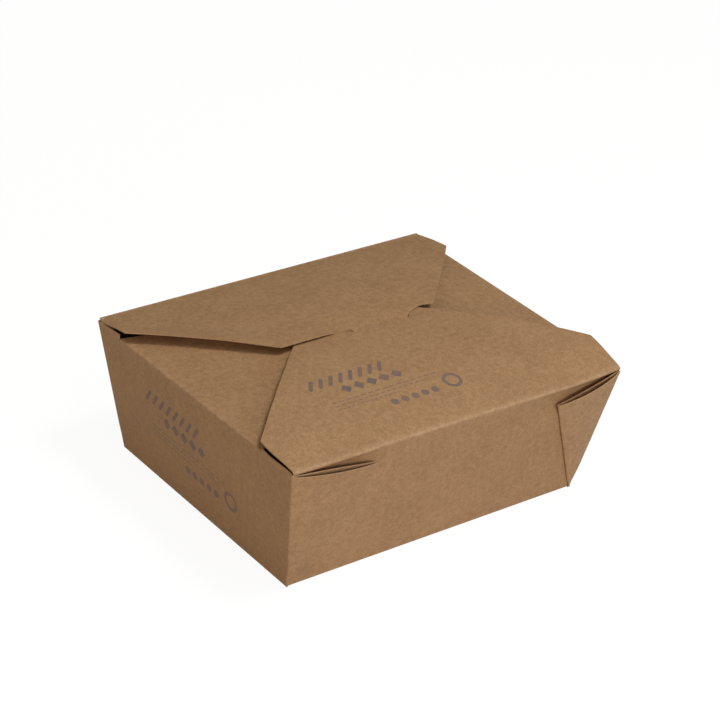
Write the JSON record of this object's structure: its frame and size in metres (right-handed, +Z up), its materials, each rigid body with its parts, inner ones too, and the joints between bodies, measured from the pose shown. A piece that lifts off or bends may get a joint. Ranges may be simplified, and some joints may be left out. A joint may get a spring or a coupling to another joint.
{
  "type": "takeaway box",
  "caption": "Folded kraft paperboard food box with flaring walls, corner webs folded outside, tucked side flaps and an overlapping lid locked by a tongue in a slit.",
  "frame": {"origin": "middle of the base's underside, on the surface that the box stands on", "axes": "+X along the front wall to the right, +Y from the front wall to the back wall, +Z up"},
  "size_m": [0.1728, 0.1426, 0.0693],
  "materials": {
    "kraft_board": "matte"
  },
  "bodies": {
    "box": {"folded_box": "kraft_board"},
    "flap": {"back_flap": "kraft_board"}
  },
  "joints": [
    {"name": "back_flap_hinge", "type": "hinge", "parent": "box", "child": "flap", "pos_m": [0, 0.0694, 0.0621], "axis": [-1, 0, 0], "range_deg": [0, 210]}
  ]
}
